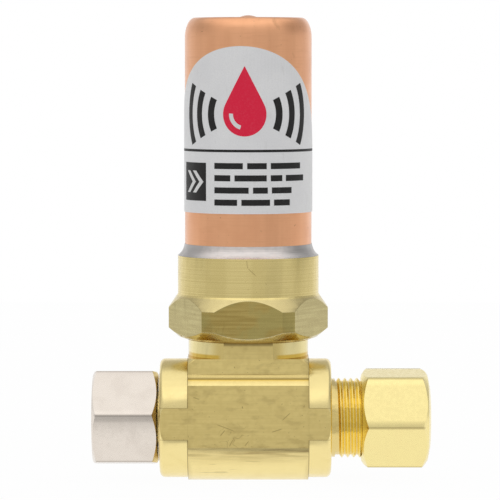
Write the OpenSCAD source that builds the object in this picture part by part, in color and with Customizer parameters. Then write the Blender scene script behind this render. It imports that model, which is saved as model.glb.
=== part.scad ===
// Water hammer arrestor: a closed copper air chamber, with a piston inside, on a brass tee.
// The tee has a swivel nut at its inlet and a compression nut for a small tube at its outlet.
// Lengths are in millimetres. +X runs along the tee from inlet to outlet and +Z up the chamber.
// The origin is the centre of the inlet nut's mouth.

/* [Air chamber] */
// Outside diameter of the copper tube
chamber_d = 22.2; // [19:0.1:26]
// Wall of the copper tube
chamber_wall = 1.1; // [0.7:0.05:1.6]
// Height of the closed end above the rim of the adapter
chamber_rise = 41.55; // [34:0.05:60]
// Height over which the closed end draws in
crown_height = 3.5; // [2:0.1:6]
// How far the closed end draws in all round
crown_inset = 1.75; // [1:0.05:4]
// Thickness of the closed end
crown_wall = 1.3; // [0.8:0.1:2]
// Diameter of the nub left where the end was closed
nub_d = 3.5; // [2:0.1:6]
// Height of that nub
nub_height = 0.45; // [0.2:0.05:1]

/* [Label] */
// Width of the label, measured round the tube
label_width = 38.2; // [24:0.1:44]
// Height of the label's straight sides, below its arched top
label_side = 3.85; // [1:0.05:12]
// Bare tube between the adapter's rim and the label
label_foot = 7.7; // [4:0.05:12]
// Bare tube between the label and the start of the closed end
label_head = 1.5; // [0.5:0.1:6]
// Thickness of the label
label_thickness = 0.12; // [0.06:0.02:0.3]
// Turn of the label's middle from the front
label_turn = -6.8; // [-30:0.1:30]

/* [Adapter] */
// Depth of the socket that holds the tube
socket_depth = 7.95; // [5:0.05:10]
// Wall of the collar round the tube
collar_wall = 1.2; // [0.8:0.05:2.5]
// Height of the collar above the hexagon
collar_height = 6.7; // [3:0.1:10]
// How far the hexagon's flats stand out from the collar
flat_step = 0.35; // [0.1:0.05:1]
// How far the hexagon's turned corners stand out from the collar
corner_step = 1.65; // [1.1:0.05:2]
// Height of the hexagon
hex_height = 8.05; // [6:0.05:12]
// Height of the slope from the collar out to the corners
hex_shoulder = 2.45; // [1.5:0.05:3]
// Radial cut on the hexagon's lower corners
hex_foot_cut = 1.8; // [0.5:0.05:2.2]
// Height of that cut
hex_foot_rise = 1.5; // [0.5:0.05:2]
// Height of the shallow slope under the cut, which runs in to the foot
hex_seat_rise = 0.55; // [0.2:0.05:1]
// How far the hexagon's foot stands out from the neck
hex_seat_step = 0.2; // [0.05:0.05:0.6]
// Height of the solder fillet on the rim
fillet_height = 2.05; // [1.2:0.05:3.5]
// How far the solder's slope is hollowed
fillet_hollow = 0.15; // [0:0.05:0.3]
// Thickness of the solder's thin edge on the tube
fillet_edge = 0.14; // [0.05:0.01:0.3]
// Height of that thin edge
fillet_edge_height = 0.55; // [0.2:0.05:0.8]
// Diameter of the threaded stub in the tee
stub_d = 14.8; // [12:0.1:17]
// Length of the threaded stub
stub_length = 7.9; // [6.5:0.1:8]
// Diameter of the water passage to the piston
passage_d = 9; // [6:0.1:10]

/* [Piston] */
// Length of the piston
piston_length = 16; // [12:0.1:20]
// Diameter of the hollow in the piston's underside
piston_hollow_d = 11; // [6:0.1:12]
// Depth of that hollow
piston_hollow = 9; // [4:0.1:11]
// Section of the sealing rings
ring_section = 2.14; // [1.6:0.02:2.6]
// Distance of each ring from its end of the piston
ring_inset = 4; // [2.5:0.1:5]

/* [Tee] */
// Diameter of the round underside
barrel_d = 21.8; // [20.8:0.1:25]
// Width across the front and back flats
flats_width = 20.15; // [17.8:0.05:20.6]
// Width across the narrower flats above the groove
upper_flats_width = 19.2; // [17.4:0.1:19.6]
// Length of the middle block along the tee
block_length = 21.05; // [20:0.05:26]
// Height of the block above the tee's axis
block_height = 11.25; // [10:0.05:14]
// Height of the groove's lower edge above the tee's axis
groove_foot = 6.7; // [4:0.1:7]
// Height of the groove's lower slope
groove_slope = 0.9; // [0.6:0.1:1.4]
// Height of the groove's upper slope
groove_lip = 0.9; // [0.4:0.1:1.2]
// Depth of the groove below the upper flats
groove_depth = 0.3; // [0.2:0.05:0.8]
// Turned radius that cuts the block's top corners
corner_turn_r = 13.2; // [12.6:0.1:14]
// Diameter of the neck under the hexagon
neck_d = 21; // [19.6:0.1:24]
// Height of the neck
neck_height = 2.75; // [1.5:0.05:6]
// Diameter of the two end collars
end_collar_d = 20.9; // [20.2:0.1:24]
// Length of the inlet's collar
inlet_collar = 4.975; // [3:0.025:8]
// Length of the outlet's collar
outlet_collar = 3.975; // [2:0.025:8]
// Rounding of the collars' outer edges
collar_round = 0.95; // [0.2:0.05:1.4]
// Diameter of the waterway through the tee
waterway_d = 7.2; // [5:0.1:8]

/* [Tube connection] */
// Outside diameter of the supply tube
tube_d = 9.53; // [8:0.01:11]
// Wall of the outlet between its socket and the thread's root
outlet_wall = 1.65; // [1:0.05:2.5]
// Height of the outlet's thread
thread_height = 0.5; // [0.3:0.05:0.8]
// Length of the threaded outlet beyond its collar
outlet_length = 9.6; // [8.6:0.1:14]
// Plain stretch between the collar and the thread
outlet_plain = 0.7; // [0.3:0.1:2]
// Depth of the tube's socket, from the outlet's mouth
tube_depth = 9.6; // [6:0.1:12]
// Depth of the sleeve's seat in the outlet's mouth
seat_depth = 1.05; // [0.7:0.05:1.4]
// Length of the compression sleeve
sleeve_length = 6.1; // [4.5:0.1:8]
// Wall of the compression sleeve at its middle
sleeve_wall = 1; // [0.7:0.05:1.2]
// Wall of the sleeve at its two ends
sleeve_lip = 0.25; // [0.15:0.05:0.4]
// Length of the sleeve's tapers
sleeve_taper = 1.45; // [0.8:0.05:2]

/* [Nuts] */
// Wall between a nut's thread and its flats
nut_wall = 0.85; // [0.6:0.05:2]
// Radial cut on the nuts' corners at their end faces
nut_corner_cut = 1.6; // [1.2:0.05:1.7]
// Bevel at the mouth of a nut's thread
nut_mouth_bevel = 0.3; // [0.1:0.05:0.4]
// Length of the compression nut
outlet_nut_length = 12; // [10.5:0.1:14]
// Depth of the compression nut's thread
outlet_nut_thread = 8; // [6:0.1:8.6]
// Length of the tube hole at the compression nut's end
outlet_nut_lip = 1.6; // [0.8:0.1:2.5]
// Length of the cut on its corners at the inner end
outlet_nut_inner_cut = 1.05; // [0.6:0.05:1.6]
// Length of the cut on its corners at the outer end
outlet_nut_outer_cut = 1.5; // [0.8:0.05:2]
// Width of the sloping ring on its outer end face
outlet_nut_dome = 1.9; // [0.5:0.1:2]
// Height of that sloping ring
outlet_nut_dome_height = 0.4; // [0.1:0.05:0.6]
// Turn of the compression nut's corners from the front
outlet_nut_turn = -5.2; // [-30:0.1:30]
// Length of the swivel nut
inlet_nut_length = 11.5; // [9.5:0.1:14]
// Wall at the swivel nut's back
inlet_nut_back = 2.35; // [1.5:0.05:3.5]
// Length of the cut on its corners at the mouth
inlet_nut_mouth_cut = 0.75; // [0.4:0.05:1.6]
// Length of the cut on its corners at the back
inlet_nut_back_cut = 1; // [0.4:0.05:1.6]
// Turn of the swivel nut's corners from the front
inlet_nut_turn = 9; // [-30:0.1:30]

/* [Inlet stem] */
// Bore of the stem
stem_bore_d = 6.4; // [4.5:0.1:7]
// Wall of the stem
stem_wall = 1.48; // [1:0.02:1.6]
// Depth of the stem in the tee
stem_depth = 8.15; // [5:0.05:9]
// Thickness of the stem's flange
flange_thickness = 1.6; // [1:0.1:2.4]
// Wall of the stem's nose, which centres the washer
nose_wall = 1; // [0.6:0.05:1.4]
// Thickness of the washer
washer_thickness = 2.4; // [1.5:0.1:3]

/* [Clearances] */
// Solder gap between the tube and its socket
solder_gap = 0.05; // [0.02:0.01:0.15]
// Glue under the label
glue_gap = 0.02; // [0.015:0.005:0.05]
// Gap round the threaded stub
stub_gap = 0.05; // [0.02:0.01:0.2]
// Running gap between the piston and the tube
piston_gap = 0.1; // [0.05:0.01:0.3]
// Gap between a ring and the tube or its groove
ring_gap = 0.055; // [0.02:0.005:0.1]
// Side gap of a ring in its groove
ring_side_gap = 0.15; // [0.05:0.05:0.4]
// Gap under the piston at the bottom of its stroke
piston_lift = 0.1; // [0.05:0.05:0.5]
// Gap round the supply tube in its socket and the sleeve
tube_gap = 0.085; // [0.05:0.005:0.2]
// Extra gap round the tube in the compression nut
tube_hole_gap = 0.05; // [0.02:0.01:0.2]
// Gap between the outlet's thread and the nut's
thread_gap = 0.1; // [0.05:0.01:0.2]
// Gap between a nut's core hole and the thread's root
core_gap = 0.05; // [0.02:0.01:0.15]
// How far the sleeve's end reaches into its seat
sleeve_entry = 0.5; // [0.3:0.05:0.6]
// Gap round the sleeve in the compression nut
sleeve_gap = 0.25; // [0.1:0.05:0.4]
// Gap between the sleeve's end and the end of the nut's cone
cone_gap = 0.6; // [0.4:0.05:0.8]
// Gap between the swivel nut and the inlet's collar
nut_gap = 0.3; // [0.1:0.05:1]
// Radial gap of the swivel nut on the stem
swivel_gap = 0.1; // [0.05:0.01:0.3]
// End play of the swivel nut behind the flange
swivel_play = 0.3; // [0.1:0.05:0.6]
// Gap round the stem's flange and the washer in the nut
flange_gap = 0.3; // [0.1:0.05:0.5]
// Gap of the washer on the stem's nose
nose_gap = 0.05; // [0.02:0.01:0.2]
// How far the nose stays behind the washer's face
nose_back = 0.4; // [0.1:0.1:1]
// Room between the washer's face and the nut's thread
washer_room = 0.1; // [0.05:0.05:0.5]
// Gap of the stem in the tee
stem_gap = 0.02; // [0.01:0.01:0.05]
// Gap between the stem's end and the floor of its hole
stem_end_gap = 0.1; // [0.05:0.05:0.5]

/* [Hidden] */
$fn = 96;
// Overshoot of a cut past the face that it opens
over = 1;

// Heights above the tee's axis
neck_top = block_height + neck_height;
hex_top = neck_top + hex_height;
rim_z = hex_top + collar_height;
socket_floor = rim_z - socket_depth;
chamber_top = rim_z + chamber_rise;
stub_foot = neck_top - stub_length;
label_bottom = rim_z + label_foot;
label_top = chamber_top - crown_height - label_head;
label_arch = label_top - label_bottom - label_side;

// Radii about the chamber's axis
chamber_r = chamber_d / 2;
chamber_bore_r = chamber_r - chamber_wall;
socket_r = chamber_r + solder_gap;
collar_r = socket_r + collar_wall;
hex_flat_r = collar_r + flat_step;
hex_corner_r = collar_r + corner_step;
hex_cut_r = hex_corner_r - hex_foot_cut;
stub_r = stub_d / 2;
neck_r = neck_d / 2;
hex_seat_r = min(neck_r + hex_seat_step, hex_cut_r);
piston_r = chamber_bore_r - piston_gap;
ring_r = chamber_bore_r - ring_gap - ring_section / 2;
ring_groove_r = ring_r - ring_section / 2 - ring_gap;
ring_groove_half = ring_section / 2 + ring_side_gap;
piston_z = socket_floor + piston_lift;

// Radii about the tee's axis
tube_hole_r = tube_d / 2 + tube_gap;
root_r = tube_hole_r + outlet_wall;
thread_r = root_r + thread_height;
nut_thread_r = thread_r + thread_gap;
core_r = root_r + core_gap;
nut_flat_r = nut_thread_r + nut_wall;
nut_corner_r = nut_flat_r / cos(30);
sleeve_r = tube_hole_r + sleeve_wall;
sleeve_end_r = tube_hole_r + sleeve_lip;
nut_hole_r = tube_hole_r + tube_hole_gap;
nut_cone_r = sleeve_r + sleeve_gap;
stem_bore_r = stem_bore_d / 2;
stem_r = stem_bore_r + stem_wall;
nose_r = stem_bore_r + nose_wall;
flange_r = core_r - flange_gap;

// Places along the tee, from the chamber's axis
inlet_face = -block_length / 2 - inlet_collar;
outlet_face = block_length / 2 + outlet_collar;
outlet_mouth = outlet_face + outlet_length;
tube_stop = outlet_mouth - tube_depth;
sleeve_x = outlet_mouth - sleeve_entry;
cone_tip = sleeve_x + sleeve_length + cone_gap;
outlet_nut_end = cone_tip + outlet_nut_lip;
outlet_nut_x = outlet_nut_end - outlet_nut_length;
inlet_nut_end = inlet_face - nut_gap;
inlet_mouth = inlet_nut_end - inlet_nut_length;
flange_x = inlet_nut_end - inlet_nut_back - swivel_play;
washer_x = flange_x - flange_thickness;
washer_face = washer_x - washer_thickness;
stem_floor = inlet_face + stem_depth;

// Colour of the plain brass pieces
brass = [0.78, 0.68, 0.42];

// Turns a shape drawn up +Z so that it runs along the tee, from x on the chamber's axis
module along_tee(x) {
    translate([x - inlet_mouth, 0, 0])
        rotate([0, 90, 0])
            children();
}

// Puts a shape drawn about the chamber's axis in its place
module on_chamber(z = 0) {
    translate([-inlet_mouth, 0, z])
        children();
}

// A round hole along the tee between two places
module tee_bore(from, to, r) {
    along_tee(from)
        cylinder(h = to - from, r = r);
}

// A cylinder with its far edge rounded
module rounded_end(length, r, edge) {
    rotate_extrude()
        union() {
            square([r - edge, length]);
            square([r, length - edge]);
            translate([r - edge, length - edge])
                intersection() {
                    circle(r = edge);
                    square(edge);
                }
        }
}

// The bar's section, with y across and z up: round below, flat at the sides, grooved under the top
module bar_section() {
    flat = flats_width / 2;
    upper = upper_flats_width / 2;
    root = upper - groove_depth;
    groove_root = groove_foot + groove_slope;
    groove_top = groove_root + groove_lip;
    intersection() {
        circle(d = barrel_d);
        translate([-flat, -barrel_d])
            square([flats_width, barrel_d]);
    }
    polygon([
        [-flat, -over], [flat, -over], [flat, groove_foot], [root, groove_root], [upper, groove_top],
        [upper, block_height], [-upper, block_height],
        [-upper, groove_top], [-root, groove_root], [-flat, groove_foot]
    ]);
}

// The middle block, with its top corners turned off about the chamber's axis
module block() {
    intersection() {
        rotate([90, 0, 90])
            linear_extrude(height = block_length, center = true)
                bar_section();
        translate([0, 0, -barrel_d])
            cylinder(h = block_height + barrel_d,
                r1 = corner_turn_r + block_height + barrel_d, r2 = corner_turn_r);
    }
}

// Material between two pairs of flats, front and back
module between_flats(width) {
    intersection() {
        children();
        cube([4 * block_length, width, 4 * barrel_d], center = true);
    }
}

module tee_body() {
    color(brass)
        difference() {
            union() {
                on_chamber()
                    block();
                on_chamber()
                    between_flats(upper_flats_width)
                        translate([0, 0, block_height - over])
                            cylinder(h = neck_height + over, r = neck_r);
                on_chamber()
                    between_flats(flats_width) {
                        rotate([0, 90, 0])
                            rounded_end(outlet_face, end_collar_d / 2, collar_round);
                        rotate([0, -90, 0])
                            rounded_end(-inlet_face, end_collar_d / 2, collar_round);
                    }
                along_tee(outlet_face - over)
                    cylinder(h = over + outlet_plain, r = thread_r - thread_gap);
                along_tee(outlet_face)
                    cylinder(h = outlet_length, r = root_r);
            }
            tee_bore(stem_floor - over, tube_stop + over, waterway_d / 2);
            tee_bore(inlet_face - over, stem_floor, stem_r + stem_gap);
            tee_bore(tube_stop, outlet_mouth + over, tube_hole_r);
            along_tee(outlet_mouth - seat_depth)
                cylinder(h = 2 * seat_depth, r1 = tube_hole_r, r2 = tube_hole_r + 2 * seat_depth);
            on_chamber()
                cylinder(h = neck_top, d = waterway_d);
            on_chamber(stub_foot)
                cylinder(h = stub_length + over, r = stub_r + stub_gap);
        }
}

// The adapter's outer shape above its stub: hexagon, turned corners and collar
module adapter_head() {
    intersection() {
        union() {
            translate([0, 0, neck_top])
                cylinder(h = hex_height, r = hex_flat_r / cos(30), $fn = 6);
            translate([0, 0, hex_top - over])
                cylinder(h = collar_height + over, r = collar_r);
        }
        rotate_extrude()
            polygon([
                [0, neck_top], [hex_seat_r, neck_top], [hex_cut_r, neck_top + hex_seat_rise],
                [hex_corner_r, neck_top + hex_seat_rise + hex_foot_rise],
                [hex_corner_r, hex_top - hex_shoulder],
                [collar_r, hex_top], [collar_r, rim_z], [0, rim_z]
            ]);
    }
}

module hex_adapter() {
    color(brass)
        on_chamber()
            difference() {
                union() {
                    adapter_head();
                    translate([0, 0, stub_foot])
                        cylinder(h = stub_length + over, r = stub_r);
                }
                translate([0, 0, stub_foot - over])
                    cylinder(h = rim_z, d = passage_d);
                translate([0, 0, socket_floor])
                    cylinder(h = socket_depth + over, r = socket_r);
            }
}

// Outline of a closed end: a quarter of an ellipse from the wall in to the flat top
function crown(r, top, inset, height) = [
    for (a = [0 : 7.5 : 90]) [r - inset + inset * cos(a), top - height + height * sin(a)]
];

// Half of the nub's outline, a low round cap of the given height on the flat top
module nub_outline() {
    nub_r = nub_d / 2;
    cap_r = (nub_r * nub_r + nub_height * nub_height) / (2 * nub_height);
    intersection() {
        translate([0, nub_height - cap_r])
            circle(r = cap_r);
        translate([0, -crown_wall / 2])
            square([nub_r, crown_wall + nub_height]);
    }
}

module copper_chamber() {
    // The inside is a little squarer than the outside, so the metal is thickest at the corner
    inner_inset = crown_inset - chamber_wall / 2;
    inner_height = crown_height - crown_wall / 2;
    color([0.82, 0.58, 0.42])
        on_chamber()
            rotate_extrude()
                difference() {
                    union() {
                        polygon(concat([[0, socket_floor], [chamber_r, socket_floor]],
                            crown(chamber_r, chamber_top, crown_inset, crown_height), [[0, chamber_top]]));
                        translate([0, chamber_top])
                            nub_outline();
                    }
                    polygon(concat([[0, socket_floor - over], [chamber_bore_r, socket_floor - over]],
                        crown(chamber_bore_r, chamber_top - crown_wall, inner_inset, inner_height),
                        [[0, chamber_top - crown_wall]]));
                }
}

// The solder runs from the rim up to a thin edge on the tube, on a slope that is hollowed a little
module solder_fillet() {
    run = collar_wall - fillet_edge;
    climb = fillet_height - fillet_edge_height;
    slant = norm([run, climb]);
    slope = [for (t = [0 : 0.2 : 1])
        let (hollow = 4 * t * (1 - t) * fillet_hollow / slant)
        [collar_r - t * run - hollow * climb, t * climb - hollow * run]
    ];
    color([0.62, 0.61, 0.6])
        on_chamber(rim_z)
            rotate_extrude()
                polygon(concat([[socket_r, 0]], slope, [[socket_r, fillet_height]]));
}

// A thin curved sheet round the tube with an arched top
module label() {
    inner_r = chamber_r + glue_gap;
    outer_r = inner_r + label_thickness;
    reach = label_width / 2 / chamber_r * 180 / PI;
    columns = 96;
    arc = [for (i = [0 : columns]) -90 + 180 * i / columns];
    points = [for (t = arc)
        let (a = label_turn + reach * sin(t), top = label_top - label_arch * (1 - cos(t)))
        each [for (p = [[inner_r, label_bottom], [outer_r, label_bottom], [outer_r, top], [inner_r, top]])
            [p[0] * sin(a), -p[0] * cos(a), p[1]]]
    ];
    sides = [for (i = [0 : columns - 1], k = [0 : 3])
        [4 * i + k, 4 * i + (k + 1) % 4, 4 * i + 4 + (k + 1) % 4, 4 * i + 4 + k]
    ];
    ends = [[3, 2, 1, 0], [for (k = [0 : 3]) 4 * columns + k]];
    color([0.83, 0.83, 0.83])
        on_chamber()
            polyhedron(points = points, faces = concat(sides, ends));
}

module piston() {
    color([0.93, 0.92, 0.88])
        on_chamber(piston_z)
            rotate_extrude()
                difference() {
                    square([piston_r, piston_length]);
                    square([piston_hollow_d / 2, piston_hollow]);
                    for (z = [ring_inset, piston_length - ring_inset])
                        translate([ring_groove_r, z - ring_groove_half])
                            square([piston_r, 2 * ring_groove_half]);
                }
}

// One sealing ring at a height on the piston
module o_ring(z) {
    color([0.12, 0.12, 0.12])
        on_chamber(piston_z + z)
            rotate_extrude()
                translate([ring_r, 0])
                    circle(d = ring_section);
}

module lower_o_ring() {
    o_ring(ring_inset);
}

module upper_o_ring() {
    o_ring(piston_length - ring_inset);
}

module inlet_stem() {
    nose = washer_thickness - nose_back;
    color(brass)
        difference() {
            union() {
                along_tee(flange_x)
                    cylinder(h = stem_floor - stem_end_gap - flange_x, r = stem_r);
                along_tee(washer_x)
                    cylinder(h = flange_thickness, r = flange_r);
                along_tee(washer_x - nose)
                    cylinder(h = nose + flange_thickness, r = nose_r);
            }
            tee_bore(washer_face - over, stem_floor + over, stem_bore_r);
        }
}

module inlet_washer() {
    color([0.14, 0.14, 0.15])
        along_tee(washer_face)
            difference() {
                cylinder(h = washer_thickness, r = flange_r);
                translate([0, 0, -over])
                    cylinder(h = washer_thickness + 2 * over, r = nose_r + nose_gap);
            }
}

// A hexagon of nut bar, with its corners cut at both ends and a sloping ring on the far end face
module nut_blank(length, turn, near_cut, far_cut, dome = 0, dome_height = 0) {
    face_r = nut_corner_r - nut_corner_cut;
    outer_r = nut_corner_r + over;
    // The turned cuts go on past the corners at the same slope
    past = (outer_r - face_r) / nut_corner_cut;
    dome_ring = dome > 0 ? [[face_r - dome, length]] : [];
    intersection() {
        rotate(-90 - turn)
            cylinder(h = length, r = nut_corner_r, $fn = 6);
        rotate_extrude()
            polygon(concat([
                [0, 0], [face_r, 0], [outer_r, near_cut * past],
                [outer_r, length - dome_height - (far_cut - dome_height) * past],
                [face_r, length - dome_height]
            ], dome_ring, [[0, length]]));
    }
}

// The threaded mouth of a nut, from its face inwards, with a bevel at the edge
module nut_mouth(depth) {
    translate([0, 0, -over])
        cylinder(h = over + depth, r = nut_thread_r);
    translate([0, 0, -over])
        cylinder(h = over + nut_mouth_bevel, r1 = nut_thread_r + over + nut_mouth_bevel, r2 = nut_thread_r);
}

module inlet_nut() {
    color([0.86, 0.84, 0.8])
        difference() {
            along_tee(inlet_mouth)
                nut_blank(inlet_nut_length, inlet_nut_turn, inlet_nut_mouth_cut, inlet_nut_back_cut);
            along_tee(inlet_mouth)
                nut_mouth(washer_face - washer_room - inlet_mouth);
            tee_bore(inlet_mouth, inlet_nut_end - inlet_nut_back, core_r);
            tee_bore(inlet_mouth, inlet_nut_end + over, stem_r + swivel_gap);
        }
}

module compression_sleeve() {
    color(brass)
        along_tee(sleeve_x)
            rotate_extrude()
                polygon([
                    [tube_hole_r, 0], [sleeve_end_r, 0], [sleeve_r, sleeve_taper],
                    [sleeve_r, sleeve_length - sleeve_taper], [sleeve_end_r, sleeve_length],
                    [tube_hole_r, sleeve_length]
                ]);
}

module compression_nut() {
    cone = nut_cone_r - nut_hole_r;
    color([0.9, 0.8, 0.5])
        difference() {
            along_tee(outlet_nut_x)
                nut_blank(outlet_nut_length, outlet_nut_turn, outlet_nut_inner_cut, outlet_nut_outer_cut,
                    outlet_nut_dome, outlet_nut_dome_height);
            along_tee(outlet_nut_x)
                nut_mouth(outlet_nut_thread);
            tee_bore(outlet_nut_x, cone_tip - cone, nut_cone_r);
            along_tee(cone_tip - cone)
                cylinder(h = cone, r1 = nut_cone_r, r2 = nut_hole_r);
            tee_bore(outlet_nut_x, outlet_nut_end + over, nut_hole_r);
        }
}

tee_body();
hex_adapter();
copper_chamber();
solder_fillet();
label();
piston();
lower_o_ring();
upper_o_ring();
inlet_stem();
inlet_washer();
inlet_nut();
compression_sleeve();
compression_nut();
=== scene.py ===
"""Looks of a water hammer arrestor: the finishes, the screw threads, the label's print and a white studio.

Lengths are in metres in the part's own frame, and in millimetres where a finish reads them. The tee's
axis is the X axis, the air chamber stands on it along +Z, and the front, with the label, faces -Y.
"""
import math

import bpy
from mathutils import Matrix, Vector


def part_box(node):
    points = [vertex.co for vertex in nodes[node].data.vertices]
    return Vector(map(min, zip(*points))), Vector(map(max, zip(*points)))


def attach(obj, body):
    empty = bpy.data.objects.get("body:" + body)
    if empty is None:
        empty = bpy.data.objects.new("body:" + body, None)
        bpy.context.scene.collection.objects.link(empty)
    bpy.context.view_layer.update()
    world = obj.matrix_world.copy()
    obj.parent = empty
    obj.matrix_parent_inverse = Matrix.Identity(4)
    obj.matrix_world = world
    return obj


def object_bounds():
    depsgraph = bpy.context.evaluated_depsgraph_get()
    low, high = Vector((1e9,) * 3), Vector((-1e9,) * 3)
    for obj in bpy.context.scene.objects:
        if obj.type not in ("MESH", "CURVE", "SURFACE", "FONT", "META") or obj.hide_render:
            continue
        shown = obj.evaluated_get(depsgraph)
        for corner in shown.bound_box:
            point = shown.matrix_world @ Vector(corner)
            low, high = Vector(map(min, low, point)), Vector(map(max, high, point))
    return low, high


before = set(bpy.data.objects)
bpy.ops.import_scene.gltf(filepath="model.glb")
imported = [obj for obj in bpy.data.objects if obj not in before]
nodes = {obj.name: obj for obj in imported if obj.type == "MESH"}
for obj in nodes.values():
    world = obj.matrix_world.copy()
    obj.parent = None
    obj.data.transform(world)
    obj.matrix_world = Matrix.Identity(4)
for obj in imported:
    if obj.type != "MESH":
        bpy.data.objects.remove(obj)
cad_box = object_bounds()

MM = 0.001

# Places and sizes from the frame
chamber_low, chamber_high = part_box("copper_chamber")
label_low, label_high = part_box("label")
CHAMBER_X = (chamber_low.x + chamber_high.x) / 2
LABEL_R = (label_high.x - label_low.x) / 2
OUTLET_END_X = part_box("tee_body")[1].x
INLET_MOUTH_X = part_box("inlet_nut")[0].x
NUT_MOUTH_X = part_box("compression_nut")[0].x

NUT_THREAD_R = 7.1 * MM
INLET_NUT_TURN = math.radians(9)
OUTLET_NUT_TURN = math.radians(-5.2)

# Places that the finishes follow, in millimetres. A pair is where a change begins and where it ends.
AXIS_X = CHAMBER_X / MM
BLOCK_HALF = 10.525
BLOCK_TOP = 11.25
COLLAR_FLAT_HALF = 2.77
OUTLET_LENGTH = 9.6
SHOULDER_X = OUTLET_END_X / MM - OUTLET_LENGTH
GROOVE_FOOT = 6.7
GROOVE_ROOT = 7.6
GROOVE_Y = 9.6
GROOVE_HALF = 0.42
NECK_TOP = 14
ADAPTER_COLLAR_R = 12.35
HEX_TOP = 22.05
FRONT_Y = (-5, -6)
# Widths of changes that look sharp
SHARP = 0.05
HAIR = 0.02

# A nut's corners have a thin dark line of painted shade, outside its chamfers
CORNER_SHADE_HALF = 0.05
CORNER_SHADE_SOFT = 0.3
CORNER_R = (8.5, 8.8)
# Half of a nut's flat that stays plane, and the radius beside it. The flats lie outside the thread and
# look along the tee's axis by no more than this.
CROWN_FLAT = 3.1
CROWN_R = 8.5
FLAT_R = (NUT_THREAD_R / MM + 0.2, NUT_THREAD_R / MM + 0.4)
FLAT_TILT = (0.3, 0.2)

# Noise lies mostly between these values, about this middle
NOISE_RANGE = (0.3, 0.7)
NOISE_MIDDLE = 0.5
# Shares of a noise's shift that it takes along Y and Z
SHIFT_Y = 0.37
SHIFT_Z = 0.71
# What the mottled skin and its dirt add to a roughness
MOTTLE_ROUGHNESS = (-0.03, 0.05)
DIRT_ROUGHNESS = 0.12
# Scratches are long contour lines of noise in patches
SCRATCH_STRETCH = (0.06, 1, 1)
SCRATCH_DISTORTION = 0.3
SCRATCH_WIDTH = 0.012
SCRATCH_PATCHES = 0.32
SCRATCH_FADE = 0.04
# Shares of a stroke's length, from its middle to both sides, that are full and that fade
STROKE_FULL = 0.3
STROKE_FADE = 0.25


class Nodes:
    """A node tree in the making."""

    def __init__(self, tree):
        self.tree = tree

    def add(self, kind, **values):
        """A new node, with its settings and its inputs given by name."""
        node = self.tree.nodes.new(kind)
        for name, value in values.items():
            if hasattr(node, name) and name not in node.inputs:
                setattr(node, name, value)
            else:
                self.put(node.inputs[name.replace("_", " ")], value)
        return node

    def put(self, socket, value):
        """Gives an input a value, or links it to another node's output."""
        if isinstance(value, bpy.types.NodeSocket):
            self.tree.links.new(value, socket)
        else:
            socket.default_value = value

    def fill(self, node, *values):
        """Gives a node's first inputs their values in order, and returns its first output."""
        for socket, value in zip(node.inputs, values):
            self.put(socket, value)
        return node.outputs[0]

    def math(self, operation, a, b=0.0):
        return self.fill(self.add("ShaderNodeMath", operation=operation), a, b)

    def product(self, *values):
        result = values[0]
        for value in values[1:]:
            result = self.math("MULTIPLY", result, value)
        return result

    def most(self, *values):
        result = values[0]
        for value in values[1:]:
            result = self.math("MAXIMUM", result, value)
        return result

    def size(self, value):
        """A value without its sign."""
        return self.math("ABSOLUTE", value)

    def outside(self, share):
        """1 where a share is 0, and 0 where it is 1."""
        return self.math("SUBTRACT", 1, share)

    def ramp(self, value, start, end, low=0.0, high=1.0):
        """A smooth step of a value from low at start to high at end."""
        node = self.add("ShaderNodeMapRange", interpolation_type="SMOOTHSTEP")
        return self.fill(node, value, start, end, low, high)

    def inside(self, value, centre, half, soft):
        """1 within half of a centre, and 0 beyond it by more than soft."""
        away = self.size(self.math("SUBTRACT", value, centre))
        return self.ramp(away, half, half + soft, 1, 0)


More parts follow.
